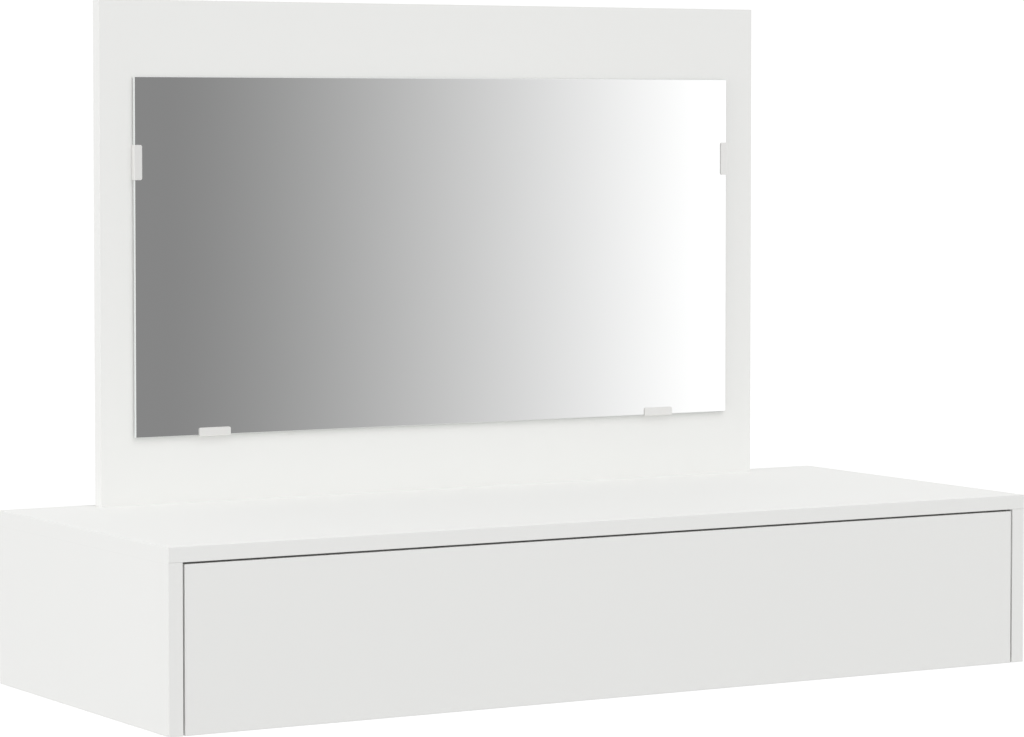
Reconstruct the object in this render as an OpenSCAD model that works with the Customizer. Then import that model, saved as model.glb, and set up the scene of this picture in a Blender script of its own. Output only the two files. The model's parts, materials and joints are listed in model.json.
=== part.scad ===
// Wall-hung dressing table: a shallow cabinet with one wide drawer, and a mirror board on its top.
// The origin is the centre of the wall-fixing holes, on the wall plane; the front faces -Y.

/* [Cabinet] */
// Width of the cabinet
cab_w = 1000; // [900:10:1200]
// Depth of the cabinet, from the wall to the face of the drawer front
cab_d = 400; // [350:5:480]
// Height of the cabinet
cab_h = 178; // [160:2:240]
// Thickness of the top, sides, back, drawer front and mirror board
board_t = 15; // [15:1:18]
// Radius of the banded board edges
band_r = 0.5; // [0.3:0.1:1]

/* [Wall fixing] */
// Distance between the wall holes, left to right
fix_w = 800; // [500:10:820]
// Distance between the wall holes, lower to upper
fix_h = 100; // [60:5:120]
// Diameter of a wall hole
fix_d = 7; // [5:0.5:8]

/* [Mirror board and mirror] */
// Width of the mirror board
panel_w = 800; // [740:10:860]
// Height of the mirror board
panel_h = 520; // [470:10:700]
// Distance from the rear edge of the top to the mirror board
panel_in = 15; // [0:1:40]
// Width of board beside the mirror
glass_side = 37; // [30:1:100]
// Height of board above the mirror
glass_top = 79; // [30:1:150]
// Thickness of the mirror
glass_t = 4; // [3:1:5]
// Height of the mirror's lower edge above the table top
glass_rise = 70; // [50:1:110]
// Width of the ground edge round the mirror
glass_bevel = 0.5; // [0.3:0.1:1]

/* [Mirror clips] */
// Length of a clip
clip_l = 36; // [24:1:50]
// Width of the lip in front of the mirror, with the clip's outer wall
clip_lip = 9; // [5:0.5:12]
// Length of the tail behind the mirror
clip_tail = 18; // [14:1:30]
// Thickness of the clip's steel
clip_t = 1; // [0.8:0.1:1.5]
// Radius of a clip's corners
clip_corner = 2; // [1:0.5:3]
// Play between a clip and the mirror
clip_play = 0.2; // [0.1:0.1:0.5]
// Distance from the mirror's top to the middle of a side clip
clip_drop = 88; // [40:1:140]
// Distance from the mirror's end to the middle of a lower clip
clip_inset = 90; // [40:1:200]

/* [Drawer] */
// Gap above and beside the drawer front
front_gap = 2; // [1.5:0.5:4]
// Space between the drawer and the back panel
rear_room = 20; // [10:1:80]
// Space between the drawer sides and the top
head_room = 25; // [15:1:40]
// Thickness of the drawer sides and back
side_t = 12; // [12:1:15]
// Height of the drawer sides' lower edge above the underside of the cabinet
drawer_rise = 18; // [12:1:24]
// Thickness of the drawer bottom
bottom_t = 3; // [3:0.5:5]
// Height of the drawer bottom above the lower edge of the sides
bottom_rise = 10; // [10:1:14]
// Depth of the grooves that hold the drawer bottom
groove_d = 5; // [3:0.5:6]
// Width of the batten under the drawer bottom
batten_w = 60; // [40:5:90]

/* [Runners] */
// Length of runner that stays in the cabinet when the drawer is out
runner_stay = 90; // [70:5:150]
// Space for a runner beside the drawer
runner_space = 12.5; // [12.5:0.1:13.5]
// Thickness of the runner steel
steel_t = 1; // [0.8:0.1:1.2]
// Inner radius of the bends in the steel
bend_r = 0.4; // [0.3:0.1:0.6]
// Diameter of a roller
roller_d = 20; // [18:0.5:22]
// Width of a roller
roller_w = 7; // [6:0.5:7]
// Running gap between a roller and its track
roller_gap = 0.3; // [0.2:0.05:0.4]
// Diameter of a roller's axle
axle_d = 5; // [4:0.5:6]
// Radial clearance of a roller on its axle
axle_play = 0.06; // [0.03:0.01:0.1]
// Height of the stop tabs in the channel
stop_h = 4; // [3:0.5:6]
// Diameter of the runner screws
runner_screw_d = 3.5; // [3:0.5:4]
// Distance between the screws of a runner
screw_step = 128; // [96:32:128]
// Distance from the end of a runner to its first screw
first_screw = 35; // [25:5:60]
// Diameter of the spare holes in a runner
spare_d = 5; // [4:0.5:6]

/* [Fittings] */
// Diameter of a dowel in the cabinet
dowel_d = 8; // [6:1:8]
// Length of a dowel
dowel_l = 30; // [25:5:35]
// Depth of a dowel in a board's face
dowel_in = 9; // [8:1:10]
// Diameter of a dowel in the drawer
drawer_dowel_d = 6; // [5:1:6]
// Diameter of a cam lock
cam_d = 15; // [12:1:15]
// Thickness of board left behind a cam lock
cam_skin = 2.6; // [2:0.2:4]
// Distance from a board's edge to the middle of its cam lock
cam_reach = 34; // [24:1:34]
// The same distance in the drawer sides
drawer_cam_reach = 24; // [20:1:30]
// Diameter of a cam bolt's shank
bolt_d = 6; // [5:0.5:6]
// Depth of a cam bolt in a board's face
bolt_in = 10; // [9:1:11]
// Distance from the end of a joint to its first cam lock
cam_inset = 60; // [40:5:80]
// Distance between one fitting of a joint and the next
fitting_step = 50; // [40:5:60]
// Distance from the end of the back's side joint to its dowel
back_dowel_inset = 30; // [20:5:40]
// Height of the lower cam lock above the lower edge of a drawer side
drawer_cam_low = 35; // [30:1:40]
// Distance of the upper cam lock below the upper edge of a drawer side
drawer_cam_high = 25; // [20:1:30]
// Diameter of the screws in the clips and in the drawer box
screw_d = 3; // [2.5:0.5:3.5]
// Length of the screws in the clips and in the runners
short_screw_l = 11; // [9:1:12]
// Length of the screws through the drawer sides into the back
back_screw_l = 35; // [30:1:40]
// Length of the screws through the drawer bottom into the back
bottom_screw_l = 14; // [12:1:20]
// Play of a dowel, screw, bolt or cam in its hole
hole_play = 0.1; // [0.05:0.05:0.2]

/* [Hidden] */
$fn = 48;
over = 1;

// Cabinet
in_half = cab_w / 2 - board_t;
under_h = cab_h - board_t;
low_z = -under_h / 2;
high_z = under_h / 2;
top_z = high_z + board_t;
side_mid = in_half + board_t / 2;
back_mid_y = -board_t / 2;

// Drawer
front_y = -cab_d;
runner_l = cab_d - 2 * board_t - rear_room;
side_h = under_h - drawer_rise - head_room;
box_y = front_y + board_t;
box_back_y = box_y + runner_l;
box_half = in_half - runner_space;
box_in_half = box_half - side_t;
side_z = low_z + drawer_rise;
bottom_z = side_z + bottom_rise;
bottom_top_z = bottom_z + bottom_t;
front_w = 2 * (in_half - front_gap);
front_h = under_h - front_gap;
groove_play = 0.3;
travel = runner_l - runner_stay;

// Mirror
glass_w = panel_w - 2 * glass_side;
glass_h = panel_h - glass_rise - glass_top;
panel_mid_y = -panel_in - board_t / 2;
panel_front_y = -panel_in - board_t;
glass_back_y = panel_front_y - clip_t - clip_play;
glass_z = top_z + glass_rise;
clip_in = glass_t + 2 * clip_play;

// Runners: heights are above the track, the upper face of the channel's lower flange
track_z = side_z + steel_t;
channel_h = roller_d + 2 * roller_gap;
flange_gap = 0.6;
flange_z = channel_h + steel_t + flange_gap;
drawer_roller_z = roller_gap + roller_d / 2;
cabinet_roller_z = flange_z - roller_gap - roller_d / 2;
end_gap = 2;
runner_front_y = box_y + end_gap;
runner_back_y = runner_front_y + runner_l;
drawer_web_u = runner_space - steel_t;
channel_gap = 1.5;
channel_w = drawer_web_u - channel_gap;
side_play = 0.05;
head_w = 0.9;
head_gap = 0.5;
collar_w = drawer_web_u - steel_t - roller_w - 2 * side_play - head_w - head_gap;
collar_step = 1.5;
collar_r = axle_d / 2 + collar_step;
tail_r = axle_d / 2 - 0.5;
drawer_runner_front_y = box_y + steel_t;
axle_from_end = roller_d / 2 + end_gap;
cabinet_roller_y = runner_front_y + axle_from_end + steel_t;
drawer_roller_y = drawer_runner_front_y + runner_l - axle_from_end;
stop_reach = sqrt(stop_h * (roller_d - stop_h)) + roller_gap;
front_stop_y = drawer_roller_y - travel - stop_reach;
back_stop_y = drawer_roller_y + stop_reach;
channel_front_y = cabinet_roller_y + roller_d / 2 + end_gap;
flange_w = drawer_web_u - collar_w;
screw_places = [for (d = first_screw; d < runner_l - first_screw; d = d + screw_step) d];
spare_places = [for (d = screw_places) d + screw_step / 4];
drawer_screw_z = side_z + bottom_rise / 2;

// Fittings
thread_d = bolt_d - 1;
bolt_room = 1;
panel_half = panel_w / 2;
side_cam_y = [-cam_inset, cam_inset - cab_d];
side_dowel_y = [-cam_inset - fitting_step, cam_inset + fitting_step - cab_d];
back_dowel_z = [low_z + back_dowel_inset, high_z - back_dowel_inset];
mirror_cam_x = [fitting_step - panel_half, 0, panel_half - fitting_step];
mirror_dowel_x = [2 * fitting_step - panel_half, panel_half - 2 * fitting_step];
back_dowel_x = [3 * fitting_step - panel_half, panel_half - 3 * fitting_step];
drawer_cam_z = [side_z + drawer_cam_low, side_z + side_h - drawer_cam_high];
drawer_dowel_z = (drawer_cam_z[0] + drawer_cam_z[1]) / 2;
bottom_screw_x = box_in_half * 2 / 3;
batten_screw_l = bottom_rise + bottom_screw_l;

// Helpers

// The same thing on the left and on the right
module both_sides() {
    children();
    mirror([1, 0, 0]) children();
}

// Turns X, Y and Z into Y, Z and X, as many times as asked
module cycle(times) {
    if (times == 0) children();
    else rotate([90, 0, 90]) cycle(times - 1) children();
}

// What the radius takes off one edge of a board. The edge runs along the axis numbered axis, and
// a and b say whether it is at the low (0) or high (1) side of the next two axes.
module edge_cut(size, axis, a, b, r) {
    next = (axis + 1) % 3;
    last = (axis + 2) % 3;
    cycle((axis + 1) % 3)
        translate([a * size[next], b * size[last], -over])
            mirror([a, 0, 0])
                mirror([0, b, 0])
                    linear_extrude(size[axis] + 2 * over)
                        difference() {
                            translate([-over, -over]) square(r + over);
                            translate([r, r]) circle(r);
                        }
}

// A board with its low corner at the origin and the listed edges rounded
module board(size, edges, r = band_r) {
    difference() {
        cube(size);
        for (e = edges) edge_cut(size, e[0], e[1], e[2], r);
    }
}

// A rectangle whose corner at the origin is rounded
module corner_block(w, h, r) {
    translate([r, 0]) square([w - r, h]);
    translate([0, r]) square([w, h - r]);
    translate([r, r]) circle(r);
}

// The section of sheet metal bent once: one arm along X, one along Y
module bent_section(w, h, t) {
    difference() {
        corner_block(w, h, bend_r + t);
        translate([t, t]) corner_block(w, h, bend_r);
    }
}

// The section of sheet metal bent twice into a channel that opens towards +X, h high inside
module channel_section(lower, upper, h, t) {
    translate([0, -t]) bent_section(lower, h / 2 + t, t);
    translate([0, h + t]) mirror([0, 1]) bent_section(upper, h / 2 + t, t);
}

// Fittings, each with the hole that it needs

// A countersunk screw with its head at the origin and its point down
module screw(d, l) {
    rotate_extrude()
        polygon([[0, 0], [d, 0], [d / 2, -d / 2], [d / 2, d - l], [0, -l]]);
}

// A hole right through the steel of a runner, whose outer face is at the origin
module steel_hole(d) {
    translate([0, 0, -steel_t - over]) cylinder(d = d, h = steel_t + 2 * over);
}

module screw_hole(d, l) {
    r = d / 2 + hole_play;
    rotate_extrude()
        polygon([
            [0, over], [d + hole_play, over], [d + hole_play, 0], [r, -d / 2],
            [r, -l - hole_play], [0, -l - hole_play]
        ]);
}

// A dowel that stands on the joint plane, its short end down in the first board's face
module dowel(d, l) {
    chamfer = 0.8;
    r = d / 2;
    rotate_extrude()
        translate([0, -dowel_in])
            polygon([[0, 0], [r - chamfer, 0], [r, chamfer], [r, l - chamfer], [r - chamfer, l], [0, l]]);
}

module dowel_hole(d, l) {
    translate([0, 0, -dowel_in - hole_play])
        cylinder(d = d + 2 * hole_play, h = l + 2 * hole_play);
}

// A cam bolt on the joint plane: its thread down in the face, its head up in the cam lock
module cam_bolt(reach) {
    thread_r = thread_d / 2;
    collar_h = 1.5;
    bolt_collar_r = bolt_d / 2 + 0.6;
    neck_r = 1.7;
    neck_h = 5;
    ball_r = 3.2;
    ball_h = 3.6;
    soft = 1;
    ball_z = reach - ball_h / 2;
    rotate_extrude()
        polygon([
            [0, -bolt_in], [thread_r - soft, -bolt_in], [thread_r, soft - bolt_in], [thread_r, 0],
            [bolt_collar_r, 0], [bolt_collar_r, collar_h], [bolt_d / 2, collar_h],
            [bolt_d / 2, ball_z - neck_h], [neck_r, ball_z - neck_h + soft], [neck_r, ball_z - soft],
            [ball_r, ball_z], [ball_r, ball_z + ball_h - soft], [ball_r - soft, ball_z + ball_h],
            [0, ball_z + ball_h]
        ]);
}

module bolt_face_hole() {
    translate([0, 0, -bolt_in - hole_play])
        cylinder(d = thread_d + 2 * hole_play, h = bolt_in + hole_play + over);
}

module bolt_edge_hole(reach) {
    translate([0, 0, -over]) cylinder(r = bolt_d / 2 + bolt_room, h = reach + over);
}

// A cam lock for a board t thick: the bolt comes up along Z, the lock goes in from +X
module cam_lock(reach, t) {
    depth = t - cam_skin;
    sink = 0.3;
    slot = 7.2;
    cross_l = 6;
    cross_w = 1.2;
    cross_deep = 1.8;
    translate([t / 2, 0, reach])
        rotate([0, -90, 0])
            difference() {
                translate([0, 0, sink]) cylinder(d = cam_d, h = depth - sink - hole_play);
                translate([-cam_d, -slot / 2, t / 2 - slot / 2]) cube([cam_d + slot / 2 + over, slot, slot]);
                for (turn = [0, 90])
                    rotate([0, 0, turn])
                        translate([-cross_l / 2, -cross_w / 2, -over])
                            cube([cross_l, cross_w, over + sink + cross_deep]);
            }
}

module cam_hole(reach, t) {
    translate([t / 2, 0, reach])
        rotate([0, -90, 0])
            translate([0, 0, -over]) cylinder(d = cam_d + 2 * hole_play, h = t - cam_skin + over);
}

// Where the fittings go: each module puts its children at every place of one kind

module at_side_cams() {
    both_sides()
        for (y = side_cam_y) translate([-side_mid, y, high_z]) rotate([180, 0, 0]) children();
}

module at_side_dowels() {
    both_sides()
        for (y = side_dowel_y) translate([-side_mid, y, high_z]) rotate([180, 0, 0]) children();
}

module at_back_cams() {
    both_sides()
        translate([-in_half, back_mid_y, 0]) rotate([90, 0, 90]) children();
}

module at_back_dowels() {
    both_sides()
        for (z = back_dowel_z) translate([-in_half, back_mid_y, z]) rotate([0, 90, 0]) children();
}

module at_back_top_dowels() {
    for (x = back_dowel_x) translate([x, back_mid_y, high_z]) rotate([180, 0, 0]) children();
}

module at_mirror_cams() {
    for (x = mirror_cam_x) translate([x, panel_mid_y, top_z]) rotate([0, 0, 90]) children();
}

module at_mirror_dowels() {
    for (x = mirror_dowel_x) translate([x, panel_mid_y, top_z]) children();
}

module at_drawer_cams() {
    both_sides()
        for (z = drawer_cam_z)
            translate([-(box_half - side_t / 2), box_y, z]) rotate([-90, 0, 0]) children();
}

module at_drawer_dowels() {
    both_sides()
        translate([-(box_half - side_t / 2), box_y, drawer_dowel_z]) rotate([-90, 0, 0]) children();
}

module at_batten_dowels() {
    both_sides()
        translate([-batten_w / 4, box_y, side_z + bottom_rise / 2]) rotate([-90, 0, 0]) children();
}

module at_back_screws() {
    both_sides()
        for (z = drawer_cam_z)
            translate([-box_half, box_back_y - side_t / 2, z]) rotate([0, -90, 0]) children();
}

module at_bottom_screws() {
    both_sides()
        translate([bottom_screw_x, box_back_y - side_t / 2, bottom_z]) rotate([180, 0, 0]) children();
}

module at_batten_screw() {
    translate([0, box_back_y - side_t / 2, side_z]) rotate([180, 0, 0]) children();
}

module at_cabinet_runner_holes(places) {
    for (d = places)
        translate([-in_half + steel_t, runner_front_y + d, track_z + drawer_roller_z])
            rotate([0, 90, 0]) children();
}

module at_drawer_runner_holes(places) {
    for (d = places)
        translate([-box_half - steel_t, drawer_runner_front_y + d, drawer_screw_z])
            rotate([0, -90, 0]) children();
}

module at_wall_holes() {
    for (x = [-fix_w / 2, fix_w / 2], z = [-fix_h / 2, fix_h / 2])
        translate([x, over, z]) rotate([90, 0, 0]) children();
}

// Each clip place has the mirror's edge at the origin, the mirror towards +Y and the front towards +Z
module at_side_clip(side) {
    translate([side * glass_w / 2, glass_back_y, glass_z + glass_h - clip_drop])
        rotate([90, 0, 0]) rotate([0, 0, 90 * side]) children();
}

module at_lower_clip(side) {
    translate([side * (glass_w / 2 - clip_inset), glass_back_y, glass_z])
        rotate([90, 0, 0]) children();
}

module at_clips() {
    for (side = [-1, 1]) {
        at_side_clip(side) children();
        at_lower_clip(side) children();
    }
}

module at_clip_screws() {
    at_clips() translate([0, clip_tail / 2, -clip_play]) children();
}

// Cabinet

module top_panel() {
    edges = [
        [0, 0, 0], [0, 0, 1], [0, 1, 1], [1, 1, 0], [1, 1, 1],
        [2, 0, 0], [2, 1, 0], [2, 0, 1], [2, 1, 1]
    ];
    color("white")
        difference() {
            translate([-cab_w / 2, -cab_d, high_z]) board([cab_w, cab_d, board_t], edges);
            at_side_cams() bolt_face_hole();
            at_side_dowels() dowel_hole(dowel_d, dowel_l);
            at_back_top_dowels() dowel_hole(dowel_d, dowel_l);
            at_mirror_cams() bolt_face_hole();
            at_mirror_dowels() dowel_hole(dowel_d, dowel_l);
        }
}

module side_panel() {
    edges = [[2, 0, 0], [2, 1, 0], [2, 0, 1], [0, 0, 0], [1, 0, 0], [1, 0, 1]];
    difference() {
        translate([-cab_w / 2, -cab_d, low_z]) board([board_t, cab_d, under_h], edges);
        at_side_cams() {
            cam_hole(cam_reach, board_t);
            bolt_edge_hole(cam_reach);
        }
        at_side_dowels() dowel_hole(dowel_d, dowel_l);
        at_back_cams() bolt_face_hole();
        at_back_dowels() dowel_hole(dowel_d, dowel_l);
        at_cabinet_runner_holes(screw_places) screw_hole(runner_screw_d, short_screw_l);
    }
}

module left_side_panel() {
    color("white") side_panel();
}

module right_side_panel() {
    color("white") mirror([1, 0, 0]) side_panel();
}

module back_panel() {
    color("white")
        difference() {
            translate([-in_half, -board_t, low_z])
                board([2 * in_half, board_t, under_h], [[0, 0, 0], [0, 1, 0]]);
            at_wall_holes() cylinder(d = fix_d, h = board_t + 2 * over);
            at_back_cams() {
                cam_hole(cam_reach, board_t);
                bolt_edge_hole(cam_reach);
            }
            at_back_dowels() dowel_hole(dowel_d, dowel_l);
            at_back_top_dowels() dowel_hole(dowel_d, dowel_l);
        }
}

module cabinet_dowels() {
    color("burlywood") {
        at_side_dowels() dowel(dowel_d, dowel_l);
        at_back_dowels() dowel(dowel_d, dowel_l);
        at_back_top_dowels() dowel(dowel_d, dowel_l);
    }
}

module cabinet_cam_bolts() {
    color("silver") {
        at_side_cams() cam_bolt(cam_reach);
        at_back_cams() cam_bolt(cam_reach);
    }
}

module cabinet_cam_locks() {
    color("darkgray") {
        at_side_cams() cam_lock(cam_reach, board_t);
        at_back_cams() cam_lock(cam_reach, board_t);
    }
}

// Mirror board, mirror and clips

module mirror_board() {
    edges = [
        [0, 0, 1], [0, 1, 1], [2, 0, 0], [2, 1, 0], [2, 0, 1], [2, 1, 1], [1, 1, 0], [1, 1, 1]
    ];
    color("white")
        difference() {
            translate([-panel_half, panel_front_y, top_z]) board([panel_w, board_t, panel_h], edges);
            at_mirror_cams() {
                cam_hole(cam_reach, board_t);
                bolt_edge_hole(cam_reach);
            }
            at_mirror_dowels() dowel_hole(dowel_d, dowel_l);
            at_clip_screws() screw_hole(screw_d, short_screw_l);
        }
}

module mirror_board_dowels() {
    color("burlywood") at_mirror_dowels() dowel(dowel_d, dowel_l);
}

module mirror_board_cam_bolts() {
    color("silver") at_mirror_cams() cam_bolt(cam_reach);
}

module mirror_board_cam_locks() {
    color("darkgray") at_mirror_cams() cam_lock(cam_reach, board_t);
}

// The section of the mirror with its ground edges, w wide, front at the origin's side of -Y
module ground_section(w) {
    polygon([
        [-w / 2, -glass_bevel], [-w / 2 + glass_bevel, 0], [w / 2 - glass_bevel, 0], [w / 2, -glass_bevel],
        [w / 2, glass_bevel - glass_t], [w / 2 - glass_bevel, -glass_t],
        [-w / 2 + glass_bevel, -glass_t], [-w / 2, glass_bevel - glass_t]
    ]);
}

module mirror_glass() {
    color("lightsteelblue")
        translate([0, glass_back_y, glass_z])
            intersection() {
                linear_extrude(glass_h) ground_section(glass_w);
                translate([-glass_w, 0, glass_h / 2])
                    rotate([0, 90, 0])
                        linear_extrude(2 * glass_w) ground_section(glass_h);
            }
}

// What the radius takes off the two corners of an arm of the clip that ends at y, its sheet from z on
module arm_corner_cuts(y, z) {
    both_sides()
        translate([clip_l / 2 - clip_corner, y - clip_corner, z - over])
            linear_extrude(clip_t + 2 * over)
                difference() {
                    square(clip_corner + over);
                    circle(clip_corner);
                }
}

// A clip of bent steel: tail behind the mirror, wall past its edge, lip in front of it
module clip() {
    wall_y = -clip_play - clip_t;
    difference() {
        translate([clip_l / 2, 0, 0])
            rotate([0, -90, 0])
                linear_extrude(clip_l)
                    translate([-clip_play, wall_y])
                        rotate(90)
                            mirror([0, 1])
                                channel_section(clip_tail - wall_y, clip_lip, clip_in, clip_t);
        arm_corner_cuts(clip_tail, -clip_play - clip_t);
        arm_corner_cuts(wall_y + clip_lip, clip_in - clip_play);
        translate([0, clip_tail / 2, -clip_play]) screw_hole(screw_d, short_screw_l);
    }
}

module left_mirror_clip() {
    color("silver") at_side_clip(-1) clip();
}

module right_mirror_clip() {
    color("silver") at_side_clip(1) clip();
}

module lower_left_mirror_clip() {
    color("silver") at_lower_clip(-1) clip();
}

module lower_right_mirror_clip() {
    color("silver") at_lower_clip(1) clip();
}

module mirror_clip_screws() {
    color("silver") at_clip_screws() screw(screw_d, short_screw_l);
}

// Cabinet side of the runners

// A channel that opens towards the drawer. Its flanges stop short of the roller at the front,
// the upper one first, so that the drawer's roller can be lifted out there.
module cabinet_runner() {
    cut_u = steel_t + bend_r;
    cut_l = runner_l + 2 * over;
    difference() {
        translate([-in_half, 0, track_z])
            union() {
                translate([0, runner_back_y, 0])
                    rotate([90, 0, 0])
                        linear_extrude(runner_l)
                            channel_section(channel_w, channel_w, channel_h, steel_t);
                for (y = [front_stop_y - steel_t, back_stop_y])
                    translate([cut_u, y, -steel_t / 2])
                        cube([channel_w - cut_u, steel_t, stop_h + steel_t / 2]);
            }
        translate([-in_half + cut_u, front_stop_y - cut_l, track_z + channel_h - bend_r])
            cube([channel_w, cut_l, steel_t + bend_r + over]);
        translate([-in_half + cut_u, channel_front_y - cut_l, track_z - steel_t - over])
            cube([channel_w, cut_l, steel_t + bend_r + over]);
        translate([-in_half - over, cabinet_roller_y, track_z + cabinet_roller_z])
            rotate([0, 90, 0])
                cylinder(r = tail_r + hole_play, h = steel_t + 2 * over);
        at_cabinet_runner_holes(screw_places) screw_hole(runner_screw_d, short_screw_l);
        at_cabinet_runner_holes(spare_places) steel_hole(spare_d);
    }
}

module left_cabinet_runner() {
    color("whitesmoke") cabinet_runner();
}

module right_cabinet_runner() {
    color("whitesmoke") mirror([1, 0, 0]) cabinet_runner();
}

module cabinet_runner_screws() {
    color("silver") both_sides() at_cabinet_runner_holes(screw_places) screw(runner_screw_d, short_screw_l);
}

// A rivet that stands up from its sheet: tail in the sheet, collar, axle and head
module roller_rivet() {
    head_z = collar_w + roller_w + 2 * side_play;
    rotate_extrude()
        polygon([
            [0, -steel_t], [tail_r, -steel_t], [tail_r, 0], [collar_r, 0], [collar_r, collar_w],
            [axle_d / 2, collar_w], [axle_d / 2, head_z], [collar_r, head_z],
            [collar_r - head_w / 2, head_z + head_w], [0, head_z + head_w]
        ]);
}

// A nylon roller on the same axis as its rivet, with a hollow round its hub
module roller() {
    r = roller_d / 2;
    soft = 0.8;
    hub_wall = 2;
    hub_r = axle_d / 2 + hub_wall;
    rim = 1.8;
    hollow = 1.5;
    translate([0, 0, collar_w + side_play])
        rotate_extrude()
            polygon([
                [axle_d / 2 + axle_play, 0], [hub_r, 0],
                [hub_r + hollow / 2, hollow], [r - rim - hollow / 2, hollow],
                [r - rim, 0], [r - soft, 0], [r, soft], [r, roller_w - soft], [r - soft, roller_w],
                [r - rim, roller_w], [r - rim - hollow / 2, roller_w - hollow],
                [hub_r + hollow / 2, roller_w - hollow], [hub_r, roller_w], [axle_d / 2 + axle_play, roller_w]
            ]);
}

module at_cabinet_roller() {
    translate([-in_half + steel_t, cabinet_roller_y, track_z + cabinet_roller_z])
        rotate([0, 90, 0]) children();
}

module at_drawer_roller() {
    translate([-in_half + drawer_web_u, drawer_roller_y, track_z + drawer_roller_z])
        rotate([0, -90, 0]) children();
}

module cabinet_roller_rivets() {
    color("silver") both_sides() at_cabinet_roller() roller_rivet();
}

module left_cabinet_roller() {
    color("ivory") at_cabinet_roller() roller();
}

module right_cabinet_roller() {
    color("ivory") mirror([1, 0, 0]) at_cabinet_roller() roller();
}

// Drawer

module drawer_front() {
    edges = [for (axis = [0, 2], a = [0, 1], b = [0, 1]) [axis, a, b]];
    ends = [[1, 0, 0], [1, 1, 0], [1, 0, 1], [1, 1, 1]];
    groove_x = box_in_half + groove_d;
    color("white")
        difference() {
            translate([-front_w / 2, front_y, low_z]) board([front_w, board_t, front_h], concat(edges, ends));
            at_drawer_cams() bolt_face_hole();
            at_drawer_dowels() dowel_hole(drawer_dowel_d, dowel_l);
            at_batten_dowels() dowel_hole(drawer_dowel_d, dowel_l);
            translate([-groove_x, box_y - groove_d, bottom_z])
                cube([2 * groove_x, groove_d + over, bottom_t + groove_play]);
        }
}

module drawer_side() {
    edges = [[1, 0, 0], [1, 0, 1], [1, 1, 0], [1, 1, 1]];
    difference() {
        translate([-box_half, box_y, side_z]) board([side_t, runner_l, side_h], edges);
        translate([-box_in_half - groove_d, box_y - over, bottom_z])
            cube([groove_d + over, runner_l + 2 * over, bottom_t + groove_play]);
        at_drawer_cams() {
            cam_hole(drawer_cam_reach, side_t);
            bolt_edge_hole(drawer_cam_reach);
        }
        at_drawer_dowels() dowel_hole(drawer_dowel_d, dowel_l);
        at_back_screws() screw_hole(screw_d, back_screw_l);
        at_drawer_runner_holes(screw_places) screw_hole(runner_screw_d, short_screw_l);
    }
}

module drawer_left_side() {
    color("white") drawer_side();
}

module drawer_right_side() {
    color("white") mirror([1, 0, 0]) drawer_side();
}

module drawer_back() {
    size = [2 * box_in_half, side_t, side_z + side_h - bottom_top_z];
    color("white")
        difference() {
            translate([-box_in_half, box_back_y - side_t, bottom_top_z]) board(size, [[0, 0, 1], [0, 1, 1]]);
            at_back_screws() screw_hole(screw_d, back_screw_l);
            at_bottom_screws() screw_hole(screw_d, bottom_screw_l);
            at_batten_screw() screw_hole(screw_d, batten_screw_l);
        }
}

module drawer_bottom() {
    half = box_in_half + groove_d - groove_play;
    depth = runner_l + groove_d - groove_play;
    color("snow")
        difference() {
            translate([-half, box_back_y - depth, bottom_z]) cube([2 * half, depth, bottom_t]);
            at_bottom_screws() screw_hole(screw_d, bottom_screw_l);
            at_batten_screw() screw_hole(screw_d, batten_screw_l);
        }
}

module drawer_batten() {
    color("snow")
        difference() {
            translate([-batten_w / 2, box_y, side_z])
                board([batten_w, runner_l, bottom_rise], [[1, 0, 0], [1, 0, 1]]);
            at_batten_dowels() dowel_hole(drawer_dowel_d, dowel_l);
            at_batten_screw() screw_hole(screw_d, batten_screw_l);
        }
}

module drawer_dowels() {
    color("burlywood") {
        at_drawer_dowels() dowel(drawer_dowel_d, dowel_l);
        at_batten_dowels() dowel(drawer_dowel_d, dowel_l);
    }
}

module drawer_cam_bolts() {
    color("silver") at_drawer_cams() cam_bolt(drawer_cam_reach);
}

module drawer_cam_locks() {
    color("darkgray") at_drawer_cams() cam_lock(drawer_cam_reach, side_t);
}

module drawer_back_screws() {
    color("silver") at_back_screws() screw(screw_d, back_screw_l);
}

module drawer_bottom_screws() {
    color("silver") {
        at_bottom_screws() screw(screw_d, bottom_screw_l);
        at_batten_screw() screw(screw_d, batten_screw_l);
    }
}

// Drawer side of the runners: a foot under the drawer side, and a flange that rides on the roller
module drawer_runner() {
    web_h = flange_z + steel_t + track_z - side_z + steel_t;
    difference() {
        translate([-in_half, drawer_runner_front_y + runner_l, side_z - steel_t])
            rotate([90, 0, 0])
                linear_extrude(runner_l) {
                    translate([drawer_web_u, 0]) bent_section(side_t + steel_t, web_h / 2, steel_t);
                    translate([runner_space, web_h])
                        mirror([0, 1]) mirror([1, 0]) bent_section(flange_w, web_h / 2, steel_t);
                }
        translate([-in_half + drawer_web_u - over, drawer_roller_y, track_z + drawer_roller_z])
            rotate([0, 90, 0])
                cylinder(r = tail_r + hole_play, h = steel_t + 2 * over);
        at_drawer_runner_holes(screw_places) screw_hole(runner_screw_d, short_screw_l);
        at_drawer_runner_holes(spare_places) steel_hole(spare_d);
    }
}

module left_drawer_runner() {
    color("whitesmoke") drawer_runner();
}

module right_drawer_runner() {
    color("whitesmoke") mirror([1, 0, 0]) drawer_runner();
}

module drawer_runner_screws() {
    color("silver") both_sides() at_drawer_runner_holes(screw_places) screw(runner_screw_d, short_screw_l);
}

module drawer_roller_rivets() {
    color("silver") both_sides() at_drawer_roller() roller_rivet();
}

module left_drawer_roller() {
    color("ivory") at_drawer_roller() roller();
}

module right_drawer_roller() {
    color("ivory") mirror([1, 0, 0]) at_drawer_roller() roller();
}

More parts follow.
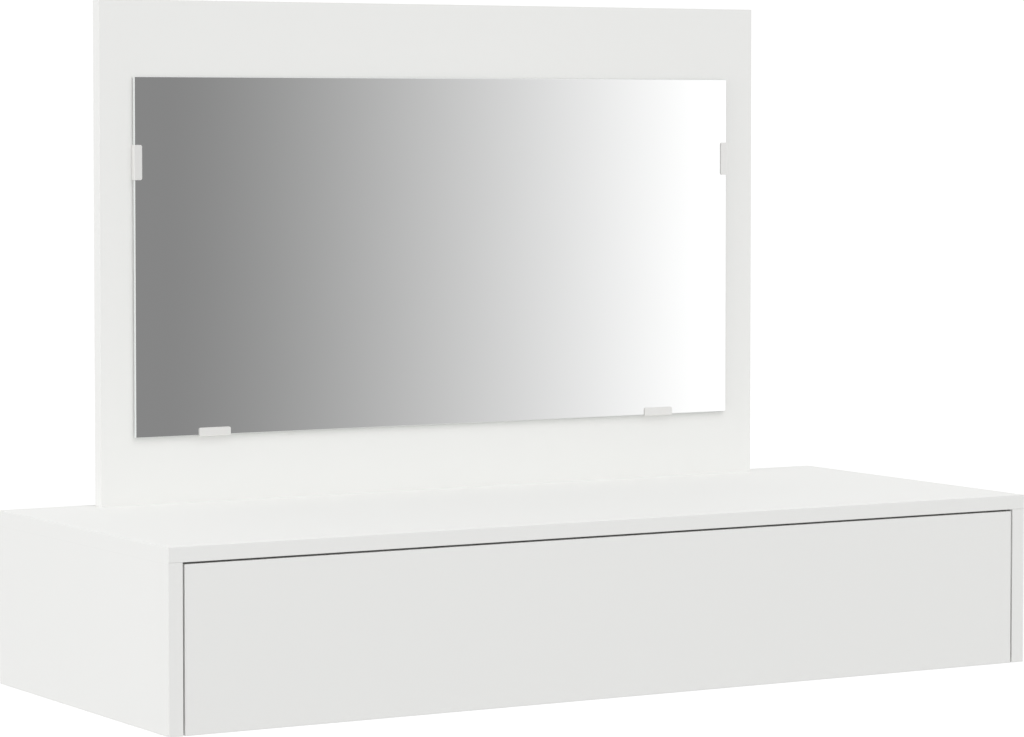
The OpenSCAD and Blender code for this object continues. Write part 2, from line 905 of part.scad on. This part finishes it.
top_panel();
left_side_panel();
right_side_panel();
back_panel();
cabinet_dowels();
cabinet_cam_bolts();
cabinet_cam_locks();
mirror_board();
mirror_board_dowels();
mirror_board_cam_bolts();
mirror_board_cam_locks();
mirror_glass();
left_mirror_clip();
right_mirror_clip();
lower_left_mirror_clip();
lower_right_mirror_clip();
mirror_clip_screws();
left_cabinet_runner();
right_cabinet_runner();
cabinet_runner_screws();
cabinet_roller_rivets();
drawer_front();
drawer_left_side();
drawer_right_side();
drawer_back();
drawer_bottom();
drawer_batten();
drawer_dowels();
drawer_cam_bolts();
drawer_cam_locks();
drawer_back_screws();
drawer_bottom_screws();
left_drawer_runner();
right_drawer_runner();
drawer_runner_screws();
drawer_roller_rivets();
left_cabinet_roller();
right_cabinet_roller();
left_drawer_roller();
right_drawer_roller();
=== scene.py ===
"""The looks of the wall-hung dressing table: finishes, small fasteners, light and camera."""

import json
import math

import bmesh
import bpy
from mathutils import Matrix, Vector

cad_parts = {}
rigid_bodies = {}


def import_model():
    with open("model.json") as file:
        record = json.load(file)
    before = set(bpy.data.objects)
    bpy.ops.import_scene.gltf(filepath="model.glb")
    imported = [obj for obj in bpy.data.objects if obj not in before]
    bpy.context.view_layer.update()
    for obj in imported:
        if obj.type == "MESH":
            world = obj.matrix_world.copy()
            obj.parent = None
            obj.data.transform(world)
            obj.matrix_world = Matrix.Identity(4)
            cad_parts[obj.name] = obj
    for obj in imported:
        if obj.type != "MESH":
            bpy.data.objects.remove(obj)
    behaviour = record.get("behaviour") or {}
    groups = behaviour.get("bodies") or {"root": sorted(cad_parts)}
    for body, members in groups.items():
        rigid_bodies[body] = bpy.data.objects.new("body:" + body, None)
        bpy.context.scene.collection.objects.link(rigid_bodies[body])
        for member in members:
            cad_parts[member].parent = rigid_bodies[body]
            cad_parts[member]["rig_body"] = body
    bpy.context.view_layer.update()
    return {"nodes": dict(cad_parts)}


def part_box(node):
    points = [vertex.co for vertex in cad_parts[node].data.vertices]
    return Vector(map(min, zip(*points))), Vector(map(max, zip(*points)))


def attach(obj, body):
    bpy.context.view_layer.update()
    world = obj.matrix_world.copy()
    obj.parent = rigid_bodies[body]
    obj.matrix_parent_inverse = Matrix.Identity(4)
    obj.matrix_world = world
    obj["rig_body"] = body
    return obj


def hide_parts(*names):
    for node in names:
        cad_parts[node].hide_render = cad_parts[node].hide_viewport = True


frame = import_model()

MM = 0.001

BANDED_BOARDS = ["top_panel", "left_side_panel", "right_side_panel", "drawer_front", "mirror_board"]
PLAIN_BOARDS = ["back_panel", "drawer_left_side", "drawer_right_side", "drawer_back", "drawer_batten"]
CLIPS = ["left_mirror_clip", "right_mirror_clip", "lower_left_mirror_clip", "lower_right_mirror_clip"]
RUNNERS = ["left_cabinet_runner", "right_cabinet_runner", "left_drawer_runner", "right_drawer_runner"]
ROLLERS = ["left_cabinet_roller", "right_cabinet_roller", "left_drawer_roller", "right_drawer_roller"]
DOWELS = ["cabinet_dowels", "mirror_board_dowels", "drawer_dowels"]
CAM_BOLTS = ["cabinet_cam_bolts", "mirror_board_cam_bolts", "drawer_cam_bolts"]
CAM_LOCKS = ["cabinet_cam_locks", "mirror_board_cam_locks", "drawer_cam_locks"]
RIVETS = ["cabinet_roller_rivets", "drawer_roller_rivets"]
SCREWS = [
    "mirror_clip_screws", "cabinet_runner_screws", "drawer_back_screws",
    "drawer_bottom_screws", "drawer_runner_screws",
]


# Nodes

def add(tree, kind, settings=None, inputs=None):
    """A new shader node. An input is a value, or a node or socket whose output it takes."""
    made = tree.nodes.new(kind)
    for name, value in (settings or {}).items():
        setattr(made, name, value)
    for name, value in (inputs or {}).items():
        socket = made.inputs[name]
        if isinstance(value, bpy.types.Node):
            value = value.outputs[0]
        if isinstance(value, bpy.types.NodeSocket):
            tree.links.new(value, socket)
        else:
            socket.default_value = value
    return made


def calc(tree, operation, *values):
    """The sum, product or other result of numbers and sockets."""
    inputs = {i: v for i, v in enumerate(values)}
    return add(tree, "ShaderNodeMath", {"operation": operation}, inputs).outputs[0]


def spread(tree, value, low, high):
    """Takes a value from 0 to 1 to the range from low to high."""
    return calc(tree, "MULTIPLY_ADD", value, high - low, low)


def blend_colours(tree, factor, one, other):
    """Colour one where the factor is 0, and other where it is 1."""
    made = add(tree, "ShaderNodeMix", {"data_type": "RGBA"})
    for socket, value in ((made.inputs[0], factor), (made.inputs[6], one), (made.inputs[7], other)):
        if isinstance(value, bpy.types.NodeSocket):
            tree.links.new(value, socket)
        elif isinstance(value, tuple):
            socket.default_value = (*value, 1.0)
        else:
            socket.default_value = value
    return made.outputs[2]


def noise(tree, coords, size, detail=2.0, stretch=(1.0, 1.0, 1.0)):
    """Noise from 0 to 1 whose features are about size across, in metres."""
    scaled = add(tree, "ShaderNodeMapping", inputs={"Vector": coords, "Scale": stretch})
    inputs = {"Vector": scaled, "Scale": 1.0 / size, "Detail": detail}
    return add(tree, "ShaderNodeTexNoise", inputs=inputs).outputs[0]


def new_material(name):
    """A node material with its shader, and the coordinates of the row frame in metres."""
    material = bpy.data.materials.new(name)
    material.use_nodes = True
    tree = material.node_tree
    tree.nodes.clear()
    shader = add(tree, "ShaderNodeBsdfPrincipled")
    add(tree, "ShaderNodeOutputMaterial", inputs={"Surface": shader})
    coords = add(tree, "ShaderNodeTexCoord").outputs["Object"]
    return material, tree, shader, coords


def link(tree, shader, **sockets):
    """Links sockets to the shader's inputs, named with underscores for spaces."""
    for name, socket in sockets.items():
        tree.links.new(socket, shader.inputs[name.replace("_", " ")])


def bump(tree, height, distance):
    """A bumped normal: height from 0 to 1 stands for this distance in metres."""
    inputs = {"Height": height, "Distance": distance, "Strength": 1.0}
    return add(tree, "ShaderNodeBump", inputs=inputs).outputs[0]


# Materials

WHITE = (0.865, 0.867, 0.852)


def near_edge(tree, coords, corners, axes, reach, width):
    """1 on the hairline that lies reach inside the box's faces across these axes, and 0 elsewhere."""
    parts = add(tree, "ShaderNodeSeparateXYZ", inputs={"Vector": coords})
    low, high = corners
    line = None
    for axis in axes:
        for place in (low[axis] + reach, high[axis] - reach):
            away = calc(tree, "ABSOLUTE", calc(tree, "SUBTRACT", parts.outputs[axis], place))
            here = calc(tree, "LESS_THAN", away, width)
            line = here if line is None else calc(tree, "MAXIMUM", line, here)
    return line


def melamine(name, corners=None, axes=()):
    """Satin white melamine: a fine orange peel, faint clouds, and the joint line of its edge bands."""
    cloud_size, speck_size, peel_size, peel_depth = 90 * MM, 2.2 * MM, 1.1 * MM, 0.012 * MM
    unevenness, tint_range = 0.006, 0.06
    band_thickness, line_width, line_strength = 1.15 * MM, 0.06 * MM, 0.25
    glue_line = (0.55, 0.54, 0.52)
    material, tree, shader, coords = new_material(name)
    clouds = noise(tree, coords, cloud_size, 3.0)
    specks = noise(tree, coords, speck_size, 4.0)
    peel = noise(tree, coords, peel_size)
    uneven_clouds, uneven_specks = (spread(tree, n, -unevenness, unevenness) for n in (clouds, specks))
    shade = calc(tree, "ADD", uneven_clouds, uneven_specks)
    darker, lighter = (tuple(c * (1 + t) for c in WHITE) for t in (-tint_range, tint_range))
    colour = blend_colours(tree, calc(tree, "ADD", shade, 0.5), darker, lighter)
    if corners:
        line = near_edge(tree, coords, corners, axes, band_thickness, line_width)
        colour = blend_colours(tree, calc(tree, "MULTIPLY", line, line_strength), colour, glue_line)
    link(tree, shader, Base_Color=colour, Roughness=spread(tree, specks, 0.54, 0.68))
    link(tree, shader, Normal=bump(tree, peel, peel_depth))
    shader.inputs["Specular IOR Level"].default_value = 0.1
    return material


def hardboard():
    """White lacquered hardboard, with the print of the press screen underneath."""
    fibre_size, cloud_size, screen_step, relief_depth = 3 * MM, 120 * MM, 1.6 * MM, 0.05 * MM
    dull_white, clear_white, fibre_colour = (0.815, 0.815, 0.79), (0.85, 0.85, 0.83), (0.80, 0.79, 0.76)
    material, tree, shader, coords = new_material("white_hardboard")
    fibres = noise(tree, coords, fibre_size, 5.0, (1.0, 0.35, 1.0))
    clouds = noise(tree, coords, cloud_size, 3.0)
    parts = add(tree, "ShaderNodeSeparateXYZ", inputs={"Vector": coords})
    turns = 2 * math.pi / screen_step
    across = calc(tree, "SINE", calc(tree, "MULTIPLY", parts.outputs[0], turns))
    along = calc(tree, "SINE", calc(tree, "MULTIPLY", parts.outputs[1], turns))
    screen = calc(tree, "MULTIPLY_ADD", calc(tree, "MULTIPLY", across, along), 0.5, 0.5)
    facing = add(tree, "ShaderNodeNewGeometry").outputs["Normal"]
    up = add(tree, "ShaderNodeSeparateXYZ", inputs={"Vector": facing}).outputs[2]
    under = calc(tree, "LESS_THAN", up, -0.5)
    white = blend_colours(tree, clouds, dull_white, clear_white)
    lacquer = blend_colours(tree, calc(tree, "MULTIPLY", fibres, 0.5), white, fibre_colour)
    relief = calc(tree, "MULTIPLY_ADD", calc(tree, "MULTIPLY", screen, under), 1.0, fibres)
    link(tree, shader, Base_Color=lacquer, Roughness=spread(tree, fibres, 0.45, 0.62))
    link(tree, shader, Normal=bump(tree, relief, relief_depth))
    return material


def beech():
    """Plain beech: short darker flecks along a pale warm grain."""
    grain_size, fleck_size, grain_depth = 1.2 * MM, 0.7 * MM, 0.06 * MM
    late_wood, early_wood, fleck_colour = (0.60, 0.43, 0.26), (0.78, 0.62, 0.43), (0.42, 0.27, 0.15)
    fleck_limit, fleck_strength = 0.66, 0.5
    material, tree, shader, coords = new_material("beech_dowel")
    grain = noise(tree, coords, grain_size, 4.0, (1.0, 0.25, 1.0))
    flecks = noise(tree, coords, fleck_size, 2.0, (1.0, 0.4, 0.4))
    pale = blend_colours(tree, grain, late_wood, early_wood)
    spots = calc(tree, "GREATER_THAN", flecks, fleck_limit)
    colour = blend_colours(tree, calc(tree, "MULTIPLY", spots, fleck_strength), pale, fleck_colour)
    link(tree, shader, Base_Color=colour, Roughness=spread(tree, grain, 0.55, 0.75))
    link(tree, shader, Normal=bump(tree, grain, grain_depth))
    return material


def metal(name, colour, rough, grain, relief, shine=1.0, fade=0.12):
    """Sheet or turned metal with faint streaks and clouds in its polish."""
    cloud_size = 6 * MM
    streak_share, cloud_share = 0.6, 0.4
    material, tree, shader, coords = new_material(name)
    streaks = noise(tree, coords, grain, 3.0)
    clouds = noise(tree, coords, cloud_size, 3.0)
    cloudy = calc(tree, "MULTIPLY", clouds, cloud_share)
    mixed = calc(tree, "MULTIPLY_ADD", streaks, streak_share, cloudy)
    dull = tuple(c * (1 - fade) for c in colour)
    link(tree, shader, Base_Color=blend_colours(tree, mixed, dull, colour))
    link(tree, shader, Roughness=spread(tree, mixed, *rough), Normal=bump(tree, streaks, relief))
    shader.inputs["Metallic"].default_value = shine
    return material


def powder_coat():
    """White powder coat on steel, with a fine pebbled skin."""
    pebble_size, cloud_size, pebble_depth = 0.9 * MM, 25 * MM, 0.03 * MM
    material, tree, shader, coords = new_material("runner_steel")
    pebbles = noise(tree, coords, pebble_size, 3.0)
    clouds = noise(tree, coords, cloud_size, 3.0)
    colour = blend_colours(tree, clouds, (0.83, 0.83, 0.81), (0.87, 0.87, 0.86))
    link(tree, shader, Base_Color=colour, Roughness=spread(tree, pebbles, 0.28, 0.42))
    link(tree, shader, Normal=bump(tree, pebbles, pebble_depth))
    shader.inputs["Coat Weight"].default_value = 0.15
    return material


def nylon():
    """Milky moulded nylon."""
    cloud_size, grain_size, grain_depth, light_reach = 5 * MM, 0.5 * MM, 0.01 * MM, 1 * MM
    material, tree, shader, coords = new_material("white_nylon")
    clouds = noise(tree, coords, cloud_size, 3.0)
    grain = noise(tree, coords, grain_size)
    colour = blend_colours(tree, clouds, (0.79, 0.79, 0.74), (0.85, 0.85, 0.81))
    link(tree, shader, Base_Color=colour, Roughness=spread(tree, grain, 0.38, 0.52))
    link(tree, shader, Normal=bump(tree, grain, grain_depth))
    shader.inputs["Subsurface Weight"].default_value = 0.1
    shader.inputs["Subsurface Scale"].default_value = light_reach
    return material


def mirror():
    """Silvered glass: clear in front, frosted and faintly green at its ground edge, painted behind."""
    nearly_square = 0.9
    frost_size, haze_size = 0.4 * MM, 60 * MM
    material, tree, shader, coords = new_material("mirror_glass")
    facing = add(tree, "ShaderNodeNewGeometry").outputs["Normal"]
    parts = add(tree, "ShaderNodeSeparateXYZ", inputs={"Vector": facing})
    front = calc(tree, "LESS_THAN", parts.outputs[1], -nearly_square)
    back = calc(tree, "GREATER_THAN", parts.outputs[1], nearly_square)
    ground = noise(tree, coords, frost_size, 3.0)
    haze = noise(tree, coords, haze_size)
    edge = blend_colours(tree, ground, (0.74, 0.765, 0.75), (0.82, 0.84, 0.83))
    paint = blend_colours(tree, ground, (0.30, 0.31, 0.32), (0.36, 0.37, 0.38))
    silver = blend_colours(tree, haze, (0.928, 0.932, 0.930), (0.938, 0.942, 0.940))
    colour = blend_colours(tree, back, blend_colours(tree, front, edge, silver), paint)
    link(tree, shader, Base_Color=colour)
    rough = calc(tree, "MULTIPLY", calc(tree, "SUBTRACT", 1.0, front), spread(tree, ground, 0.4, 0.6))
    link(tree, shader, Metallic=front, Roughness=rough)
    return material


# Screws

def screw_places(name):
    """A node's screws: for each its head's centre, its point's direction, its head radius and length."""
    cad = frame["nodes"][name]
    loose = bmesh.new()
    loose.from_mesh(cad.data)
    bmesh.ops.remove_doubles(loose, verts=loose.verts, dist=0.001 * MM)
    places = []
    left = set(loose.verts)
    while left:
        group, edge = set(), {left.pop()}
        while edge:
            v = edge.pop()
            group.add(v)
            for e in v.link_edges:
                w = e.other_vert(v)
                if w in left:
                    left.discard(w)
                    edge.add(w)
        places.append(one_screw([v.co.copy() for v in group]))
    loose.free()
    return sorted(places, key=lambda p: tuple(round(c, 5) for c in p[0]))


def one_screw(points):
    """The place and size of one screw from its corner points."""
    touch = 0.01 * MM
    low = Vector(min(p[i] for p in points) for i in range(3))
    high = Vector(max(p[i] for p in points) for i in range(3))
    spans = high - low
    axis = max(range(3), key=lambda i: spans[i])
    across = (axis + 1) % 3
    centre = (low + high) / 2
    low_width, high_width = (
        max(abs(p[across] - centre[across]) for p in points if abs(p[axis] - end[axis]) < touch)
        for end in (low, high)
    )
    head_high = high_width > low_width
    head = centre.copy()
    head[axis] = high[axis] if head_high else low[axis]
    point = Vector((0, 0, 0))
    point[axis] = -1.0 if head_high else 1.0
    return head, point, max(low_width, high_width), spans[axis]


def screw_mesh(name, head_r, length):
    """A countersunk screw, head at the origin and point down, with a cross recess and a thread."""
    sides, top_rings, rings_in_pitch = 48, 16, 6
    shank_r = head_r / 2
    flat_r, rim = head_r * 0.97, head_r * 0.04
    recess_r, recess_w, recess_deep = head_r * 0.58, head_r * 0.17, head_r * 0.5
    recess_slope, recess_round = recess_w * 0.25, recess_r * 0.28
    pitch = shank_r * 0.9
    core_r, thread_rise, thread_half_width = shank_r * 0.72, shank_r * 0.26, 0.3
    tip = length - head_r * 1.6
    mesh = bmesh.new()

    def ring(radius_at, z_at):
        made = []
        for i in range(sides):
            turn = 2 * math.pi * i / sides
            r = radius_at(turn)
            made.append(mesh.verts.new((r * math.cos(turn), r * math.sin(turn), z_at(turn))))
        return made

    def sunk(r, turn):
        """How deep the cross recess is at this place of the head."""
        across = min(abs(r * math.sin(turn)), abs(r * math.cos(turn)))
        side = 1 - min(max((across - recess_w) / recess_slope, 0), 1)
        end = min(max((recess_r - r) / recess_round, 0), 1)
        return recess_deep * side * end

    rows = []
    for k in range(1, top_rings + 1):
        r = flat_r * k / top_rings
        rows.append(ring(lambda t, r=r: r, lambda t, r=r: -sunk(r, t) if r < recess_r else 0.0))
    rows.append(ring(lambda t: head_r, lambda t: -rim))
    rows.append(ring(lambda t: shank_r, lambda t: -shank_r))
    steps = int((tip - shank_r) / pitch * rings_in_pitch)
    for k in range(1, steps + 1):
        z = shank_r + (tip - shank_r) * k / steps

        def threaded(t, z=z):
            wave = (z / pitch + t / (2 * math.pi)) % 1.0
            return core_r + thread_rise * max(0.0, 1 - abs(wave - 0.5) / thread_half_width)

        rows.append(ring(threaded, lambda t, z=z: -z))
    rows.append(ring(lambda t: shank_r * 0.5, lambda t: -(tip + length) / 2))
    for upper, lower in zip(rows, rows[1:]):
        for i in range(sides):
            j = (i + 1) % sides
            mesh.faces.new((upper[i], lower[i], lower[j], upper[j]))
    centre = mesh.verts.new((0, 0, -recess_deep))
    point = mesh.verts.new((0, 0, -length))
    for i in range(sides):
        j = (i + 1) % sides
        mesh.faces.new((centre, rows[0][i], rows[0][j]))
        mesh.faces.new((point, rows[-1][j], rows[-1][i]))
    data = bpy.data.meshes.new(name)
    mesh.to_mesh(data)
    mesh.free()
    return data


def turn_down_to(point):
    """The turn that takes the screw's own point, which is down, to this direction."""
    return Vector((0, 0, -1)).rotation_difference(point).to_matrix().to_4x4()


def make_screws(node, material):
    """One piece that stands for all the screws of a node, each turned further than the last."""
    turn_step = 37
    body = frame["nodes"][node]["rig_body"]
    joined = bmesh.new()
    for index, (head, point, head_r, length) in enumerate(screw_places(node)):
        data = screw_mesh(node, head_r, length)
        twist = Matrix.Rotation(math.radians(turn_step * index % 90), 4, "Z")
        data.transform(Matrix.Translation(head) @ turn_down_to(point) @ twist)
        joined.from_mesh(data)
        bpy.data.meshes.remove(data)
    mesh = bpy.data.meshes.new(node + "_turned")
    joined.to_mesh(mesh)
    joined.free()
    mesh.shade_smooth()
    piece = bpy.data.objects.new(node + "_turned", mesh)
    bpy.context.scene.collection.objects.link(piece)
    mesh.materials.append(material)
    sharpen(piece)
    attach(piece, body)
    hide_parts(node)


def sharpen(piece):
    """Marks the edges that stay crisp under smooth shading."""
    crease = math.radians(35)
    edges = bmesh.new()
    edges.from_mesh(piece.data)
    for edge in edges.edges:
        if len(edge.link_faces) == 2:
            edge.smooth = edge.calc_face_angle() < crease
    edges.to_mesh(piece.data)
    edges.free()


# Dressing of the CAD nodes

def dress(node, material):
    """Gives a CAD node its finish."""
    slots = frame["nodes"][node].data.materials
    slots.clear()
    slots.append(material)


def dress_all():
    """Every node gets its finish."""
    banded_axes = {
        "top_panel": (0, 1), "left_side_panel": (1, 2), "right_side_panel": (1, 2),
        "drawer_front": (0, 2), "mirror_board": (0, 2),
    }
    for node in BANDED_BOARDS:
        dress(node, melamine("melamine_" + node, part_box(node), banded_axes[node]))
    plain = melamine("melamine_plain")
    for node in PLAIN_BOARDS:
        dress(node, plain)
    dress("drawer_bottom", hardboard())
    dress("mirror_glass", mirror())
    nickel = metal(
        "clip_steel", colour=(0.90, 0.895, 0.88), rough=(0.40, 0.48),
        grain=0.5 * MM, relief=0.002 * MM, shine=0.55, fade=0.04,
    )
    zinc = metal(
        "zinc_steel", colour=(0.66, 0.67, 0.69), rough=(0.28, 0.42),
        grain=1.0 * MM, relief=0.01 * MM,
    )
    white_steel, white_plastic, wood = powder_coat(), nylon(), beech()
    finishes = (
        (CLIPS, nickel), (RUNNERS, white_steel), (ROLLERS, white_plastic),
        (DOWELS, wood), (CAM_BOLTS + CAM_LOCKS + RIVETS + SCREWS, zinc),
    )
    for nodes, finish in finishes:
        for node in nodes:
            dress(node, finish)
    for node in SCREWS:
        make_screws(node, zinc)


# Stage, light and camera

def make_floor():
    """A pale floor below the table. It clips to white for the camera, but keeps the shadow."""
    under_table = 0.6
    half = 14.0
    rings, sides = 6, 48
    mesh = bmesh.new()
    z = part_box("left_side_panel")[0].z - under_table
    centre = mesh.verts.new((0, 0, z))
    last = None
    for k in range(1, rings + 1):
        r = half * (k / rings) ** 2
        turns = [2 * math.pi * i / sides for i in range(sides)]
        now = [mesh.verts.new((r * math.cos(turn), r * math.sin(turn), z)) for turn in turns]
        for i in range(sides):
            j = (i + 1) % sides
            if last:
                mesh.faces.new((last[i], now[i], now[j], last[j]))
            else:
                mesh.faces.new((centre, now[i], now[j]))
        last = now
    data = bpy.data.meshes.new("floor")
    mesh.to_mesh(data)
    mesh.free()
    floor = bpy.data.objects.new("floor", data)
    bpy.context.scene.collection.objects.link(floor)
    data.materials.append(floor_material())
    floor.visible_glossy = False


def floor_material():
    """Matt white that glows for the camera, less under the table: painted shade there, which also lets
    its cast shadow show.
    """
    # painted shade: the camera glow is weaker near the table, so the floor around it is darker also
    # outside its shadow
    near_glow, far_glow = 0.37, 0.5
    near, far = 1.0, 2.8
    cloud_size = 0.4
    darker, lighter = (0.58, 0.58, 0.58), (0.62, 0.62, 0.62)
    material, tree, shader, coords = new_material("floor")
    clouds = noise(tree, coords, cloud_size, 3.0)
    link(tree, shader, Base_Color=blend_colours(tree, clouds, darker, lighter))
    shader.inputs["Roughness"].default_value = 0.8
    path = add(tree, "ShaderNodeLightPath").outputs
    seen = calc(tree, "MAXIMUM", path["Is Camera Ray"], path["Is Transmission Ray"])
    flat = add(tree, "ShaderNodeMapping", inputs={"Vector": coords, "Scale": (1.0, 1.0, 0.0)})
    away = add(tree, "ShaderNodeVectorMath", {"operation": "LENGTH"}, {0: flat}).outputs["Value"]
    span = {"Value": away, "From Min": near, "From Max": far, "To Min": near_glow, "To Max": far_glow}
    glow = add(tree, "ShaderNodeMapRange", {"interpolation_type": "SMOOTHSTEP"}, span).outputs[0]
    link(tree, shader, Emission_Strength=calc(tree, "MULTIPLY", seen, glow))
    shader.inputs["Emission Color"].default_value = (1, 1, 1, 1)
    from_below = add(tree, "ShaderNodeNewGeometry").outputs["Backfacing"]
    clear = add(tree, "ShaderNodeBsdfTransparent")
    both = add(tree, "ShaderNodeMixShader", inputs={0: from_below, 1: shader, 2: clear})
    output = next(n for n in tree.nodes if n.bl_idname == "ShaderNodeOutputMaterial")
    tree.links.new(both.outputs[0], output.inputs["Surface"])
    return material


def make_world():
    """A white studio: even for the camera, graded near the horizon for gloss, plain for the rest."""
    soft_light, back_light, clear_white = 0.942, 0.76, 1.05
    grey, white, bend = 0.253, 1.117, 1.42
    far_left, grey_start, grey_end = -70.0, 22.0, 25.34
    white_start, white_end, far_right = 33.35, 60.0, 100.0
    level, high = math.sin(math.radians(10)), math.sin(math.radians(24))
    front, back = -0.2, 0.5
    world = bpy.data.worlds.new("studio")
    bpy.context.scene.world = world
    world.use_nodes = True
    tree = world.node_tree
    tree.nodes.clear()
    direction = add(tree, "ShaderNodeTexCoord").outputs["Generated"]
    parts = add(tree, "ShaderNodeSeparateXYZ", inputs={"Vector": direction})
    forward = calc(tree, "MULTIPLY", parts.outputs[1], -1.0)
    azimuth = calc(tree, "DEGREES", calc(tree, "ARCTAN2", parts.outputs[0], forward))

    def between(value, start, end):
        """0 up to the start and 1 from the end on."""
        inputs = {"Value": value, "From Min": start, "From Max": end}
        return add(tree, "ShaderNodeMapRange", inputs=inputs).outputs[0]

    rise = calc(tree, "POWER", between(azimuth, grey_end, white_start), bend)
    graded = calc(tree, "MULTIPLY_ADD", rise, white - grey, soft_light)
    fall = between(azimuth, far_left, grey_start)
    graded = calc(tree, "MULTIPLY_ADD", fall, grey - soft_light, graded)
    fade = between(azimuth, white_end, far_right)
    graded = calc(tree, "MULTIPLY_ADD", fade, soft_light - white, graded)
    height = calc(tree, "ABSOLUTE", parts.outputs[2])
    off_level = between(height, level, high)
    graded = add(tree, "ShaderNodeMix", inputs={0: off_level, 2: graded, 3: soft_light}).outputs[0]
    plain = spread(tree, between(parts.outputs[1], front, back), soft_light, back_light)
    path = add(tree, "ShaderNodeLightPath").outputs
    glossy = path["Is Glossy Ray"]
    gloss = add(tree, "ShaderNodeMix", inputs={0: glossy, 2: plain, 3: graded}).outputs[0]
    seen = calc(tree, "MAXIMUM", path["Is Camera Ray"], path["Is Transmission Ray"])
    strength = add(tree, "ShaderNodeMix", inputs={0: seen, 2: gloss, 3: clear_white}).outputs[0]
    light = add(tree, "ShaderNodeBackground", inputs={"Color": (1, 1, 1, 1), "Strength": strength})
    add(tree, "ShaderNodeOutputWorld", inputs={"Surface": light})


def make_lamp(name, place, size, watts):
    """A large soft lamp that looks at the table."""
    target = Vector((0, -0.2, 0.25))
    data = bpy.data.lights.new(name, "AREA")
    data.shape = "DISK"
    data.size = size
    data.energy = watts
    lamp = bpy.data.objects.new(name, data)
    lamp.location = place
    lamp.rotation_euler = (target - Vector(place)).to_track_quat("-Z", "Y").to_euler()
    lamp.visible_camera = False
    lamp.visible_glossy = False
    bpy.context.scene.collection.objects.link(lamp)


def make_lights():
    """The world, a key lamp above in front, and one from the far left."""
    make_world()
    make_lamp("key", place=(0.6, -4.5, 6.0), size=4.0, watts=80)
    make_lamp("left_fill", place=(-7.0, -0.6, 1.6), size=4.0, watts=110)


def make_camera():
    """The photograph's view: from the front left, a little above, with the horizon level."""
    place = (-2.0489, -3.6651, 0.4964)
    yaw, pitch = 30.451, 2.652
    data = bpy.data.cameras.new("camera")
    data.sensor_width = 36.0
    data.lens = 136.73
    data.shift_y = -0.07
    data.clip_start, data.clip_end = 0.1, 60.0
    camera = bpy.data.objects.new("camera", data)
    camera.location = place
    camera.rotation_euler = (math.radians(90 - pitch), 0, math.radians(-yaw))
    bpy.context.scene.collection.objects.link(camera)
    bpy.context.scene.camera = camera


bpy.context.scene.view_settings.view_transform = "Standard"
make_camera()
dress_all()
make_floor()
make_lights()
